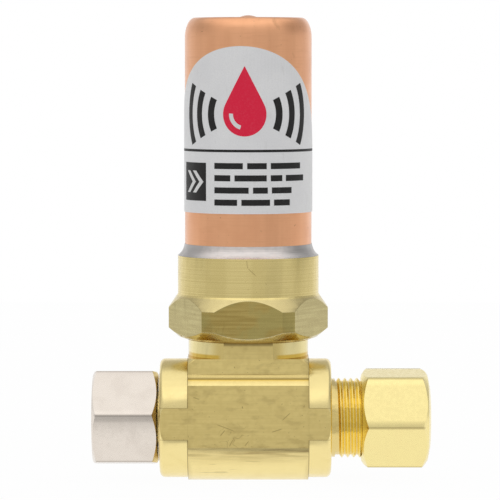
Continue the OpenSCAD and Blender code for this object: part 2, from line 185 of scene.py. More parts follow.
class Finish(Nodes):
    """A material in the making. Its textures read places in millimetres in the part's frame."""

    def __init__(self, name):
        self.material = bpy.data.materials.new(name)
        self.material.use_nodes = True
        super().__init__(self.material.node_tree)
        self.surface = self.tree.nodes["Principled BSDF"]
        coordinates = self.add("ShaderNodeTexCoord").outputs["Object"]
        scaled = self.add("ShaderNodeVectorMath", operation="SCALE", Vector=coordinates, Scale=1 / MM)
        self.place = scaled.outputs[0]
        self.x, self.y, self.z = self.add("ShaderNodeSeparateXYZ", Vector=self.place).outputs

    def set(self, **values):
        """Sets the shader's own inputs."""
        for name, value in values.items():
            self.put(self.surface.inputs[name.replace("_", " ")], value)

    def across(self):
        """Distance to the right of the chamber's axis, in millimetres."""
        return self.math("SUBTRACT", self.x, AXIS_X)

    def length(self, a, b):
        """Length of a line with these two sides."""
        return self.math("SQRT", self.math("ADD", self.product(a, a), self.product(b, b)))

    def facing(self):
        """The three parts of the direction that the surface faces."""
        normal = self.add("ShaderNodeNewGeometry").outputs["True Normal"]
        return self.add("ShaderNodeSeparateXYZ", Vector=normal).outputs

    def noise(self, place, stretch, shift, **settings):
        """Noise at a place that is first stretched along each axis and shifted."""
        moved = self.fill(self.add("ShaderNodeVectorMath", operation="MULTIPLY_ADD"), place, stretch, shift)
        return self.add("ShaderNodeTexNoise", Vector=moved, **settings).outputs[0]

    def grain(self, per_mm, stretch=(1, 1, 1), detail=2.0, shift=0.0, distortion=0.0):
        """Noise with that many features a millimetre, finer along an axis with a larger stretch."""
        return self.noise(self.place, stretch, (shift, SHIFT_Y * shift, SHIFT_Z * shift),
                          Scale=per_mm, Detail=detail, Distortion=distortion)

    def rings(self, along, per_mm=4.0, detail=3.0):
        """Turning marks: noise that changes along one coordinate only."""
        noise = self.add("ShaderNodeTexNoise", noise_dimensions="1D", W=along, Scale=per_mm, Detail=detail)
        return noise.outputs[0]

    def spread(self, noise, low=0.0, high=1.0):
        """A number that follows noise from low to high."""
        return self.ramp(noise, *NOISE_RANGE, low, high)

    def patches(self, per_mm, start, full, strength=1.0, **noise):
        """Patches where noise passes start, which reach their strength where it is full."""
        return self.ramp(self.grain(per_mm, **noise), start, full, 0, strength)

    def scratches(self, angle, per_mm, share, shift):
        """Thin marks that run at an angle from X over the front and back, on a share of the surface."""
        turned = self.add("ShaderNodeVectorRotate", rotation_type="Y_AXIS", Vector=self.place, Angle=angle)
        noise = self.noise(turned.outputs[0], SCRATCH_STRETCH, (shift, shift, shift),
                           Scale=per_mm, Detail=1, Distortion=SCRATCH_DISTORTION)
        line = self.inside(noise, NOISE_MIDDLE, 0, SCRATCH_WIDTH)
        start = 1 - share
        patch = self.patches(SCRATCH_PATCHES, start, start + SCRATCH_FADE, shift=3 * shift, detail=1)
        return self.product(line, patch)

    def strokes(self, lines, width):
        """Thin marks on the front, each a line from (across, up) to (across, up)."""
        across = self.across()
        marks = []
        for (x0, z0), (x1, z1) in lines:
            length = math.hypot(x1 - x0, z1 - z0)
            ux, uz = (x1 - x0) / length, (z1 - z0) / length
            dx = self.math("SUBTRACT", across, x0)
            dz = self.math("SUBTRACT", self.z, z0)
            along = self.math("ADD", self.product(dx, ux), self.product(dz, uz))
            beside = self.math("SUBTRACT", self.product(dx, uz), self.product(dz, ux))
            marks.append(self.product(
                self.inside(along, length / 2, STROKE_FULL * length, STROKE_FADE * length),
                self.inside(beside, 0, 0, width)))
        return self.product(self.most(*marks), self.ramp(self.y, *FRONT_Y))

    def mix(self, factor, a, b):
        """A colour between two, each of which may be a node's output."""
        node = self.add("ShaderNodeMix", data_type="RGBA")
        self.put(node.inputs[0], factor)
        for socket, colour in ((node.inputs[6], a), (node.inputs[7], b)):
            self.put(socket, colour if isinstance(colour, bpy.types.NodeSocket) else (*colour, 1))
        return node.outputs[2]

    def blend(self, factor, a, b):
        """A number between two."""
        node = self.add("ShaderNodeMix")
        for socket, value in zip(node.inputs[:1] + node.inputs[2:4], (factor, a, b)):
            self.put(socket, value)
        return node.outputs[0]

    def bump(self, height, distance, strength=1.0, under=None):
        node = self.add("ShaderNodeBump", Height=height, Distance=distance, Strength=strength)
        if under is not None:
            self.put(node.inputs["Normal"], under)
        return node.outputs[0]

    def corners(self, turn):
        """Distance from the tee's axis, and the angle to the nearest of a nut's corners.

        One of the corners is turned up from the front by the given angle."""
        angle = self.math("ARCTAN2", self.z, self.product(self.y, -1))
        to_corner = self.math("PINGPONG", self.math("SUBTRACT", angle, turn), math.pi / 6)
        return self.length(self.y, self.z), to_corner

    def corner_shade_lines(self, turn):
        """1 in a thin line of painted shade along each of a nut's corners."""
        r, to_corner = self.corners(turn)
        line = self.inside(self.product(r, to_corner), 0, CORNER_SHADE_HALF, CORNER_SHADE_SOFT)
        return self.product(line, self.ramp(r, *CORNER_R))

    def crown(self, turn):
        """The direction of a nut's flats, which fall away to the corners as tumbling leaves them."""
        r, to_corner = self.corners(turn)
        aside = self.product(r, self.math("SINE", self.math("SUBTRACT", math.pi / 6, to_corner)))
        past = self.most(self.math("SUBTRACT", aside, CROWN_FLAT), 0)
        fall = self.product(past, past, -0.5 / CROWN_R)
        on_flat = self.product(self.ramp(self.size(self.facing()[0]), *FLAT_TILT), self.ramp(r, *FLAT_R))
        return self.bump(self.product(fall, on_flat), MM)


# Metal colours, in linear light
BRASS = (0.93, 0.77, 0.35)
# Worn brass, also used as painted shade in the groove and on the collars' tops
BRASS_WORN_AND_SHADE = (0.80, 0.63, 0.25)
BAR_BRASS = (0.96, 0.765, 0.30)
BAR_DARK = (0.85, 0.67, 0.255)
# Brass painted lighter on the neck's sides, as painted light
NECK_LIT_BRASS = (1.0, 0.86, 0.42)
# Dark gold painted as shade at the groove's root and the hexagon's foot, and as a reflection at the neck's
# foot
PAINTED_DARK_GOLD = (0.80, 0.54, 0.10)
ADAPTER_BRASS = (0.92, 0.76, 0.335)
ADAPTER_DARK = (0.72, 0.58, 0.23)
FACET_BRASS = (0.56, 0.425, 0.14)
FACET_DARK = (0.44, 0.32, 0.095)
# Paler copies of the walls' colours for the hexagon's side walls, as painted light
SIDE_WALL_LIT = (0.60, 0.52, 0.25)
SIDE_WALL_LIT_DARK = (0.51, 0.43, 0.20)
FACET_STAIN = (0.47, 0.41, 0.15)
# Darker brass painted under the hexagon, as painted shade
CONE_SHADE_BRASS = (0.62, 0.55, 0.32)
SHOULDER_BRASS = (0.66, 0.55, 0.27)
BRIGHT_BRASS = (0.95, 0.81, 0.365)
# Brass made deeper gold for the threads, as painted reflection and shade of the ridges in each other
THREAD_BRASS = (0.97, 0.77, 0.235)
# Tarnish, also used as the colour of painted shade lines
TARNISH_AND_SHADE = (0.20, 0.13, 0.04)
COPPER = (0.98, 0.50, 0.265)
COPPER_DARK = (0.88, 0.43, 0.222)
COPPER_STAIN = (0.40, 0.18, 0.08)
SOLDER = (0.80, 0.74, 0.71)
# Darker grey for the solder's lumps and for painted shade at its sides
SOLDER_DULL_AND_SHADE = (0.52, 0.50, 0.49)
NICKEL = (0.81, 0.735, 0.655)
NICKEL_DULL = (0.69, 0.615, 0.54)
# Painted shade along the nickel nut's corners
NICKEL_EDGE_SHADE = (0.16, 0.13, 0.11)
# Colours of the film, the plastic and the rubber
FILM = (0.79, 0.79, 0.80)
FILM_LIGHT = (0.835, 0.835, 0.84)
FILM_FIBRE = (0.725, 0.725, 0.735)
FILM_RUBBED = (0.58, 0.57, 0.56)
ACETAL = (0.80, 0.79, 0.74)
ACETAL_LIGHT = (0.87, 0.86, 0.82)
RUBBER = (0.014, 0.014, 0.015)
RUBBER_BLOOM = (0.05, 0.05, 0.05)

# How far a face looks to the front or back to be one of the tee's flats
FLAT_FACING = (0.96, 0.985)
# The flat's rubbed lower edge: its height, half its width and its softness
RUBBED_EDGE = (-4.5, 0.3, 1.0)
# Places beside the chamber's axis and over the tee's where thin curved scuffs lie, with their softness
SCUFFS_ACROSS = (-2.4, 1.2, 2.2)
SCUFFS_UP = (-2.4, 1.0, 2.2)
SCUFF_WIDTH = 0.03
# The painted shade line at the block's ends, where they meet the collars, as half its width and its
# softness, and the soft painted shade before it
BLOCK_SHADE_LINE = (0.04, 0.10)
BLOCK_SHADE = (BLOCK_HALF - 1, BLOCK_HALF)
# The collars' flats are one plane with the block's, within this height, with its softness
ONE_PLANE = (COLLAR_FLAT_HALF - 0.1, 0.2)
# A painted shade line along the edges of the collars' flats, as half its width and its softness
COLLAR_SHADE_LINE = (HAIR, 0.08)
# Distances from the tee's mid plane where the neck's front, which takes a faint painted shade, and the
# collars' edges begin
NECK_FRONT_SHADE = (8, 9.4)
COLLAR_EDGE = (9.5, 9.7)
# Heights between which the barrel under the flats is dull, is streaked, and the collars' tops turn golden
# as painted shade
DULL_TOP = (-1, -2)
DULL_FOOT = (-7.8, -4.2)
STREAKED_TOP = (-5, -6)
COLLAR_TOP_SHADE = (8.6, 9.8)
# Distances from the chamber's axis where the neck's sides begin, which are painted lighter than its middle
# as painted light, and the golden line at its foot, which is a painted reflection
NECK_LIT_SIDE = (5.0, 7.2)
NECK_REFLECTION_SIDE = (4.6, 5.4)
# Heights of the painted reflection line at the neck's foot
NECK_REFLECTION = (BLOCK_TOP + 0.8, BLOCK_TOP + 0.45)
# Heights of the painted shade on the neck's flats just under the hexagon
UNDER_HEXAGON_SHADE = (NECK_TOP - 0.75, NECK_TOP - 0.2)
# Depth under the tee's axis where the bar's rounded corners end, how fast they turn, and where they lie
BAR_TURN_FOOT = 6.6
BAR_TURN = 0.05
BAR_TURN_DEPTH = (4, 6)
BAR_TURN_TOP = (0, -1)
# The groove is painted more golden towards its root as painted shade, and a darker painted shade line lies
# at its root, with half its width and its softness
GROOVE_SHADE = (GROOVE_FOOT - 0.3, GROOVE_ROOT)
GROOVE_SHADE_LINE = (GROOVE_ROOT + 0.05, 0.05, 0.3)
# Slopes by which the groove looks rounder: its lower side, and the lip over its root
SLOPE_TURN = 0.26
LIP_TURN = -0.92
LIP = 8.02
LIP_TOP = 8.6

# Roughness of the tee's turned sides, its neck and its flats
TURNED_ROUGHNESS = 0.22
NECK_ROUGHNESS = 0.16
BAR_ROUGHNESS = 0.32

# Scratches on the tee's front, in millimetres from the chamber's axis and up from the tee's
FLAT_STROKES = (
    ((-5.6, 0.0), (-2.4, -1.2)),
    ((-3.9, -0.6), (-2.3, -1.3)),
    ((-4.9, -2.1), (-4.0, -1.0)),
    ((-3.3, -3.9), (-2.6, -2.6)),
    ((-0.6, -3.8), (0.1, -2.9)),
    ((5.8, 0.6), (7.3, 2.0)),
    ((4.0, -1.4), (5.9, -0.8)),
    ((-9.6, 4.7), (-8.4, 4.3)),
)
FLAT_STROKE_WIDTH = 0.14
# A fine crooked scratch on the adapter's collar
COLLAR_STROKES = (((-0.3, 28.6), (-0.1, 27.1)), ((-0.1, 27.2), (1.4, 25.8)))
COLLAR_STROKE_WIDTH = 0.12


class TeeBrass(Finish):
    """Dull bar brass on the front and back flats, with draw lines along X, and brighter brass elsewhere."""

    def __init__(self):
        super().__init__("tee_brass")
        self.flat = self.ramp(self.size(self.facing()[1]), *FLAT_FACING)
        self.off_flat = self.outside(self.flat)
        self.neck = self.ramp(self.z, BLOCK_TOP - HAIR, BLOCK_TOP)
        self.aside = self.size(self.across())
        self.depth = self.size(self.y)
        self.on_block = self.ramp(self.aside, BLOCK_HALF, BLOCK_HALF - SHARP)
        self.off_block = self.outside(self.on_block)
        self.in_groove = self.product(self.on_block, self.inside(self.depth, GROOVE_Y, GROOVE_HALF, SHARP))
        self.draw_lines = self.grain(1.6, stretch=(0.04, 1, 1.6), detail=3)
        self.mottle = self.grain(1.1, detail=3, shift=7)
        dirt = self.dirt()

        # Tarnish from the dirt and the barrel's dull streaks, with the painted shade of dark lines at the
        # block's ends, under the hexagon, along the collars and on the neck's front
        tarnish_and_shade = self.most(self.product(dirt, 0.5), self.painted_shade_lines(), self.barrel())
        self.set(Metallic=1.0, Base_Color=self.mix(tarnish_and_shade, self.clean(), TARNISH_AND_SHADE))
        turned_rough = self.blend(self.neck, TURNED_ROUGHNESS, NECK_ROUGHNESS)
        rough = self.blend(self.flat, turned_rough, BAR_ROUGHNESS)
        rough = self.math("ADD", rough, self.spread(self.mottle, *MOTTLE_ROUGHNESS))
        self.set(Roughness=self.math("ADD", rough, self.product(dirt, DIRT_ROUGHNESS)))
        turned_lines = self.blend(self.neck, self.rings(self.x), self.rings(self.z))
        lines = self.blend(self.flat, turned_lines, self.draw_lines)
        fine = self.bump(lines, 0.004 * MM, 0.4, under=self.bump(self.form(), MM))
        skin = self.math("SUBTRACT", self.mottle, self.product(dirt, 0.8))
        self.set(Normal=self.bump(skin, 0.006 * MM, 0.4, under=fine))

    def dirt(self):
        """Specks, pits, scratches, stains and scuffs on the flats, whose lower edge is rubbed."""
        specks = self.patches(2.6, 0.76, 0.79, detail=1, shift=11)
        pits = self.patches(1.0, 0.735, 0.76, detail=2, shift=19)
        marks = self.most(self.scratches(0.5, 2.0, 0.30, 5), self.scratches(-0.75, 1.7, 0.30, 23))
        marks = self.most(self.product(marks, 0.5), self.strokes(FLAT_STROKES, FLAT_STROKE_WIDTH))
        stains = self.patches(0.5, 0.50, 0.70, 0.40, stretch=(0.7, 1, 1.3), detail=4, shift=83)
        curves = self.inside(self.grain(0.5, detail=1, shift=53), NOISE_MIDDLE, 0, SCUFF_WIDTH)
        scuffs = self.product(curves, self.inside(self.across(), *SCUFFS_ACROSS),
                              self.inside(self.z, *SCUFFS_UP), self.ramp(self.y, *FRONT_Y), 0.7)
        wear = self.patches(0.9, 0.50, 0.72, stretch=(0.35, 1, 1.6), detail=3, shift=31)
        rubbed = self.product(self.inside(self.z, *RUBBED_EDGE), wear, 0.8)
        return self.product(self.flat, self.most(specks, pits, marks, stains, scuffs, rubbed))

    def painted_shade_lines(self):
        """Painted shade: dark lines at the block's ends, under the hexagon and along the collars' flats,
        and a faint darkening of the neck's front.
        """
        shade = self.product(self.on_block, self.ramp(self.aside, *BLOCK_SHADE, high=0.3))
        block_end_shade = self.most(self.inside(self.aside, BLOCK_HALF, *BLOCK_SHADE_LINE), shade)
        one_plane = self.product(self.flat, self.inside(self.z, 0, *ONE_PLANE))
        block_end_shade = self.product(block_end_shade, self.ramp(one_plane, 0, 1, 1, 0.15))
        neck_front_shade = self.product(self.neck, self.ramp(self.depth, *NECK_FRONT_SHADE))
        under_hexagon_shade = self.product(self.flat, self.ramp(self.z, *UNDER_HEXAGON_SHADE))
        collar_edge_shade = self.product(self.inside(self.size(self.z), COLLAR_FLAT_HALF, *COLLAR_SHADE_LINE),
                                    self.off_block, self.ramp(self.depth, *COLLAR_EDGE))
        return self.most(self.product(block_end_shade, 0.6), self.product(under_hexagon_shade, 0.75),
                         self.product(collar_edge_shade, 0.45), self.product(neck_front_shade, 0.12))

    def barrel(self):
        """The dull streaks of the barrel under the flats."""
        streaks = self.grain(1.1, stretch=(0.14, 0.6, 1.8), detail=4, shift=91)
        barrel = self.product(self.on_block, self.off_flat)
        dull = self.product(barrel, self.ramp(self.z, *DULL_FOOT, high=0.55), self.ramp(self.z, *DULL_TOP),
                            self.spread(streaks, 0.45, 1.3))
        streaked = self.product(barrel, self.ramp(self.z, *STREAKED_TOP), self.ramp(streaks, 0.62, 0.70))
        return self.most(dull, self.product(streaked, 0.35))

    def clean(self):
        """The colour without its dirt."""
        bar = self.mix(self.ramp(self.draw_lines, 0.35, 0.65, high=0.6), BAR_BRASS, BAR_DARK)
        bar = self.mix(self.ramp(self.mottle, 0.40, 0.68, high=0.6), bar, BAR_DARK)
        # The groove and the collars' tops are more golden as painted shade, and the plain shoulder before
        # the thread is more golden
        golden = self.most(self.product(self.in_groove, self.ramp(self.z, *GROOVE_SHADE)),
                           self.product(self.off_block, self.ramp(self.z, *COLLAR_TOP_SHADE, high=0.6)),
                           self.ramp(self.x, SHOULDER_X - HAIR, SHOULDER_X + HAIR))
        cloud = self.patches(0.22, 0.45, 0.75, 0.25, detail=4, distortion=0.6)
        turned = self.mix(self.most(golden, cloud), BRASS, BRASS_WORN_AND_SHADE)
        # A darker painted shade line at the groove's root
        groove_root_shade = self.product(self.in_groove, self.inside(self.z, *GROOVE_SHADE_LINE))
        turned = self.mix(self.product(groove_root_shade, 0.7), turned, PAINTED_DARK_GOLD)
        # The golden line at the neck's foot is a painted reflection of the block's top
        neck_reflection = self.product(self.ramp(self.z, *NECK_REFLECTION), self.ramp(self.aside, *NECK_REFLECTION_SIDE))
        # The neck's middle is painted darker as painted shade under the hexagon, and its sides lighter as
        # painted light
        neck = self.mix(self.ramp(self.aside, *NECK_LIT_SIDE), BAR_DARK, NECK_LIT_BRASS)
        neck = self.mix(neck_reflection, neck, PAINTED_DARK_GOLD)
        turned = self.mix(self.neck, turned, neck)
        lip = self.inside(self.z, (LIP + LIP_TOP) / 2, (LIP_TOP - LIP) / 2, SHARP)
        return self.mix(self.product(self.flat, self.outside(lip)), turned, bar)

    def form(self):
        """Height by which the bar's lower corners are rounded and its groove is rounder."""
        below = self.most(self.math("ADD", self.z, BAR_TURN_FOOT), 0)
        form = self.product(below, below, -BAR_TURN, self.off_flat, self.on_block,
                            self.ramp(self.depth, *BAR_TURN_DEPTH), self.ramp(self.z, *BAR_TURN_TOP))
        for low, high, turn in ((GROOVE_FOOT, GROOVE_ROOT, SLOPE_TURN), (LIP, LIP_TOP, LIP_TURN)):
            up = self.math("MINIMUM", self.most(self.z, low), high)
            slope = self.product(self.math("SUBTRACT", up, low), turn, self.on_block)
            form = self.math("ADD", form, slope)
        return form


# Beyond the collar lie the hexagon's walls, up to its top, and the cones over and under them
WALL_R = (ADAPTER_COLLAR_R + 0.1, ADAPTER_COLLAR_R + 0.2)
CONE_R = (ADAPTER_COLLAR_R + 0.1, ADAPTER_COLLAR_R + 0.3)
WALL_TOP = (HEX_TOP + HAIR, HEX_TOP - HAIR)
CONE_TOP = (HEX_TOP + 0.5, HEX_TOP + 0.4)
UNDER_CONE_SHADE = (NECK_TOP + 4, NECK_TOP + 3.5)
# The hexagon's foot is painted darker gold as painted shade, with more painted shade at its rim
HEX_FOOT_SHADE = (NECK_TOP + 0.6, NECK_TOP + 0.15)
HEX_RIM_SHADE = (NECK_TOP + 0.38, NECK_TOP + 0.12)
# How far a face looks up or down, at most, to be a wall, and aside to be one of the side walls
WALL_FACING = (0.25, 0.15)
SIDE_FACING = (0.6, 0.8)
ADAPTER_ROUGHNESS = 0.24
WALL_ROUGHNESS = 0.27


def adapter_brass():
    """Dull hexagon walls left from the bar, with brushed lines round them, and turned brass elsewhere."""
    f = Finish("adapter_brass")
    facing = f.facing()
    r = f.length(f.across(), f.y)
    wall = f.product(f.ramp(r, *WALL_R), f.ramp(f.z, *WALL_TOP), f.ramp(f.size(facing[2]), *WALL_FACING))
    side = f.ramp(f.size(facing[0]), *SIDE_FACING)

    brushed = f.grain(1.2, stretch=(0.08, 0.08, 2))
    turned = f.rings(f.z)
    cloud = f.grain(0.28, detail=4, distortion=0.5, shift=3)
    mottle = f.grain(1.2, detail=1, shift=13)
    specks = f.patches(2.2, 0.77, 0.80, detail=1, shift=17)
    marks = f.most(f.product(f.scratches(1.45, 1.5, 0.34, 41), 0.5),
                   f.strokes(COLLAR_STROKES, COLLAR_STROKE_WIDTH))
    # Specks and scratches, with painted shade at the hexagon's rim
    dirt = f.most(specks, marks, f.product(f.ramp(f.z, *HEX_RIM_SHADE), 1.3))

    # The side walls take paler copies of the walls' colours than the front and back walls, as painted light
    wall_dark = f.mix(side, FACET_DARK, SIDE_WALL_LIT_DARK)
    wall_light = f.mix(side, FACET_BRASS, SIDE_WALL_LIT)
    wall_colour = f.mix(f.ramp(brushed, 0.35, 0.68), wall_dark, wall_light)
    wall_colour = f.mix(f.ramp(cloud, 0.40, 0.70, high=0.5), wall_colour, wall_dark)
    stain = f.patches(0.24, 0.46, 0.62, 0.6, detail=3, shift=77)
    wall_colour = f.mix(f.product(stain, f.outside(side)), wall_colour, FACET_STAIN)

    turned_colour = f.mix(f.ramp(turned, 0.35, 0.70, high=0.6), ADAPTER_BRASS, ADAPTER_DARK)
    turned_colour = f.mix(f.ramp(cloud, 0.45, 0.75, high=0.3), turned_colour, ADAPTER_DARK)
    bands = f.patches(0.3, 0.42, 0.66, 0.45, stretch=(1, 1, 0.02), shift=101)
    turned_colour = f.mix(bands, turned_colour, ADAPTER_DARK)
    cones = f.product(f.ramp(r, *CONE_R), f.ramp(f.z, *CONE_TOP))
    turned_colour = f.mix(f.product(cones, 0.8), turned_colour, SHOULDER_BRASS)
    # The cone under the hexagon is painted darker, as painted shade
    turned_colour = f.mix(f.ramp(f.z, *UNDER_CONE_SHADE, high=0.85), turned_colour, CONE_SHADE_BRASS)
    # The hexagon's foot is painted dark gold, as painted shade
    turned_colour = f.mix(f.ramp(f.z, *HEX_FOOT_SHADE, high=0.8), turned_colour, PAINTED_DARK_GOLD)

    varied = f.mix(wall, turned_colour, wall_colour)
    f.set(Metallic=1.0, Base_Color=f.mix(f.product(dirt, 0.45), varied, TARNISH_AND_SHADE))
    rough = f.blend(wall, ADAPTER_ROUGHNESS, WALL_ROUGHNESS)
    rough = f.math("ADD", rough, f.spread(mottle, *MOTTLE_ROUGHNESS))
    f.set(Roughness=f.math("ADD", rough, f.product(dirt, DIRT_ROUGHNESS)))
    fine = f.bump(f.blend(wall, turned, brushed), 0.002 * MM, 0.4)
    f.set(Normal=f.bump(f.math("SUBTRACT", mottle, dirt), 0.004 * MM, 0.3, under=fine))
    return f.material


def turned_brass(name, colour, worn, roughness=TURNED_ROUGHNESS, crown_turn=None):
    """Brass turned about the tee's axis. Where a crown's turn is given, it is a nut with worn corners and a
    thin line of painted shade along each.
    """
    f = Finish(name)
    rings = f.rings(f.x)
    mottle = f.grain(1.6, detail=1, shift=27)
    specks = f.patches(1.5, 0.78, 0.82, shift=37)
    cloud = f.patches(0.3, 0.42, 0.75, 0.40, detail=3, distortion=0.4, shift=9)
    varied = f.mix(cloud, colour, worn)
    varied = f.mix(f.ramp(rings, 0.40, 0.75, high=0.25), varied, worn)
    dirt = f.product(specks, 0.4)
    crown = None
    if crown_turn is not None:
        # Specks, with painted shade lines along the nut's corners
        dirt = f.most(dirt, f.product(f.corner_shade_lines(crown_turn), 0.4))
        crown = f.crown(crown_turn)
    f.set(Metallic=1.0, Base_Color=f.mix(dirt, varied, TARNISH_AND_SHADE))
    f.set(Roughness=f.spread(mottle, roughness - 0.03, roughness + 0.06))
    fine = f.bump(rings, 0.003 * MM, 0.4, under=crown)
    f.set(Normal=f.bump(f.math("SUBTRACT", mottle, specks), 0.003 * MM, 0.3, under=fine))
    return f.material


def drawn_copper():
    """Satin copper tube with faint rings from polishing and soft upright streaks."""
    f = Finish("drawn_copper")
    rings = f.rings(f.z, 4.5, detail=4)
    streaks = f.patches(0.55, 0.35, 0.66, 0.55, stretch=(1, 1, 0.035), detail=3, distortion=0.2)
    cloud = f.grain(0.22, detail=3, distortion=0.5, shift=15)
    wiped = f.patches(0.9, 0.52, 0.72, 0.5, stretch=(0.25, 0.25, 2.2), detail=3, shift=97)
    stains = f.patches(0.55, 0.66, 0.76, 0.30, stretch=(1, 1, 0.45), detail=3, shift=29)
    specks = f.patches(2.1, 0.74, 0.78, 0.5, detail=1, shift=43)
    varied = f.mix(streaks, COPPER, COPPER_DARK)
    varied = f.mix(f.ramp(cloud, 0.42, 0.7, high=0.35), varied, COPPER_DARK)
    varied = f.mix(f.ramp(rings, 0.40, 0.72, high=0.3), varied, COPPER_DARK)
    varied = f.mix(wiped, varied, COPPER_DARK)
    f.set(Metallic=1.0, Base_Color=f.mix(f.most(stains, specks), varied, COPPER_STAIN))
    f.set(Roughness=f.spread(cloud, 0.33, 0.42), Coat_Weight=0.5, Coat_Roughness=0.25)
    fine = f.bump(rings, 0.006 * MM, 0.5)
    f.set(Normal=f.bump(f.grain(1.3, detail=3, shift=51), 0.008 * MM, 0.4, under=fine))
    return f.material


# The solder is painted brightest a little to the left of the chamber's axis, and darker at these distances
# from there, as painted shade on its sides
SOLDER_MIDDLE = AXIS_X - 0.5
SOLDER_SIDE_SHADE = (5.5, 10.2)


def tin_solder():
    """Dull grey solder, wiped round the joint, with a slightly lumpy skin and painted shade on its left and
    right.
    """
    f = Finish("tin_solder")
    lumps = f.grain(0.7, detail=3, distortion=0.6)
    wiped = f.grain(1.4, stretch=(0.35, 0.35, 2), detail=3, shift=21)
    skin = f.math("ADD", f.product(lumps, 0.6), f.product(wiped, 0.4))
    aside = f.size(f.math("SUBTRACT", f.x, SOLDER_MIDDLE))
    # The lumps, and painted shade that darkens the solder away from its middle
    shade = f.product(f.ramp(skin, 0.36, 0.66, low=0.6), f.ramp(aside, *SOLDER_SIDE_SHADE, 1, 0))
    f.set(Metallic=1.0, Base_Color=f.mix(shade, SOLDER_DULL_AND_SHADE, SOLDER))
    f.set(Roughness=f.spread(lumps, 0.30, 0.42))
    f.set(Normal=f.bump(skin, 0.05 * MM, 0.5))
    return f.material


def satin_nickel():
    """Nickel plate with a warm satin sheen, a few dull spots, faint polishing lines and painted shade lines
    along its corners.
    """
    f = Finish("satin_nickel")
    lines = f.grain(2.4, stretch=(0.08, 1, 1), detail=3)
    mottle = f.grain(2.0, detail=1, shift=47)
    spots = f.patches(0.9, 0.72, 0.80, 0.5, shift=59)
    cloud = f.patches(0.3, 0.38, 0.70, 0.40, detail=4, distortion=0.5, shift=33)
    varied = f.mix(cloud, NICKEL, NICKEL_DULL)
    varied = f.mix(spots, varied, NICKEL_DULL)
    # Painted shade lines along the nut's corners
    edges = f.product(f.corner_shade_lines(INLET_NUT_TURN), 0.4)
    f.set(Metallic=1.0, Base_Color=f.mix(edges, varied, NICKEL_EDGE_SHADE))
    f.set(Roughness=f.spread(mottle, 0.20, 0.28))
    fine = f.bump(lines, 0.003 * MM, 0.4, under=f.crown(INLET_NUT_TURN))
    f.set(Normal=f.bump(mottle, 0.002 * MM, 0.3, under=fine))
    return f.material


def label_film():
    """Silver-white film with a faint sparkle of its metal layer and a slight orange peel."""
    f = Finish("label_film")
    fibre = f.grain(6, detail=3)
    cloud = f.grain(0.18, detail=3, shift=5)
    rubbed = f.patches(0.9, 0.60, 0.75, 0.25, stretch=(1, 1, 0.3), detail=3, shift=61)
    film = f.mix(f.spread(cloud), FILM, FILM_LIGHT)
    film = f.mix(f.ramp(fibre, 0.4, 0.7, high=0.5), film, FILM_FIBRE)
    f.set(Base_Color=f.mix(rubbed, film, FILM_RUBBED))
    f.set(Metallic=0.15, Roughness=f.spread(fibre, 0.38, 0.5))
    f.set(Normal=f.bump(f.grain(2.5, shift=67), 0.01 * MM, 0.4))
    return f.material


def ink(name, colour, thin):
    """Printing ink that is thinner in places, so that the film shows through a little."""
    f = Finish(name)
    cover = f.grain(3.5, detail=3, shift=71)
    wear = f.patches(0.8, 0.62, 0.78, 0.35, detail=4, shift=73)
    solid = f.mix(f.ramp(cover, 0.45, 0.75, high=0.35), colour, thin)
    f.set(Base_Color=f.mix(wear, solid, thin))
    f.set(Roughness=f.spread(cover, 0.40, 0.55), Specular_IOR_Level=0.35)
    f.set(Normal=f.bump(cover, 0.006 * MM, 0.4))
    return f.material


def white_acetal():
    """Turned acetal: off-white plastic with fine tool rings."""
    f = Finish("white_acetal")
    rings = f.rings(f.z)
    f.set(Base_Color=f.mix(f.spread(f.grain(0.25, detail=3)), ACETAL, ACETAL_LIGHT))
    f.set(Roughness=f.spread(rings, 0.32, 0.48), Normal=f.bump(rings, 0.02 * MM, 0.5))
    return f.material


def seal_rubber():
    """Moulded black rubber with a dusty bloom."""
    f = Finish("seal_rubber")
    bloom = f.grain(0.9, detail=4)
    f.set(Base_Color=f.mix(f.ramp(bloom, 0.4, 0.75), RUBBER, RUBBER_BLOOM))
    f.set(Roughness=f.spread(bloom, 0.55, 0.75), Normal=f.bump(f.grain(4, detail=3), 0.02 * MM, 0.5))
    return f.material


brass_nut = turned_brass("bright_brass", BRIGHT_BRASS, BRASS, crown_turn=OUTLET_NUT_TURN)
thread_brass = turned_brass("thread_brass", THREAD_BRASS, BRASS_WORN_AND_SHADE, roughness=0.2)
inner_brass = turned_brass("inner_brass", BRASS, BRASS_WORN_AND_SHADE)
nickel = satin_nickel()
rubber = seal_rubber()
NODE_FINISH = {
    "tee_body": TeeBrass().material,
    "hex_adapter": adapter_brass(),
    "copper_chamber": drawn_copper(),
    "solder_fillet": tin_solder(),
    "label": label_film(),
    "piston": white_acetal(),
    "lower_o_ring": rubber,
    "upper_o_ring": rubber,
    "inlet_stem": inner_brass,
    "inlet_washer": rubber,
    "inlet_nut": nickel,
    "compression_sleeve": inner_brass,
    "compression_nut": brass_nut,
}
for name, material in NODE_FINISH.items():
    nodes[name].data.materials.clear()
    nodes[name].data.materials.append(material)

# Width of the broken edge on the machined pieces
EDGE_BREAK = {
    "tee_body": 0.10 * MM,
    "hex_adapter": 0.12 * MM,
    "compression_sleeve": 0.05 * MM,
}
EDGE_SEGMENTS = 3
FLATTEST_EDGE = math.radians(14)
JOINED_WITHIN = 0.002 * MM


def break_edges(node, width):
    """Rounds a node's sharp edges a little, as the tumbling of a machined piece does."""
    weld = node.modifiers.new("joined_faces", "WELD")
    weld.merge_threshold = JOINED_WITHIN
    bevel = node.modifiers.new("broken_edges", "BEVEL")
    bevel.width = width
    bevel.segments = EDGE_SEGMENTS
    bevel.limit_method = "ANGLE"
    bevel.angle_limit = FLATTEST_EDGE
    bevel.harden_normals = True


for name, width in EDGE_BREAK.items():
    break_edges(nodes[name], width)


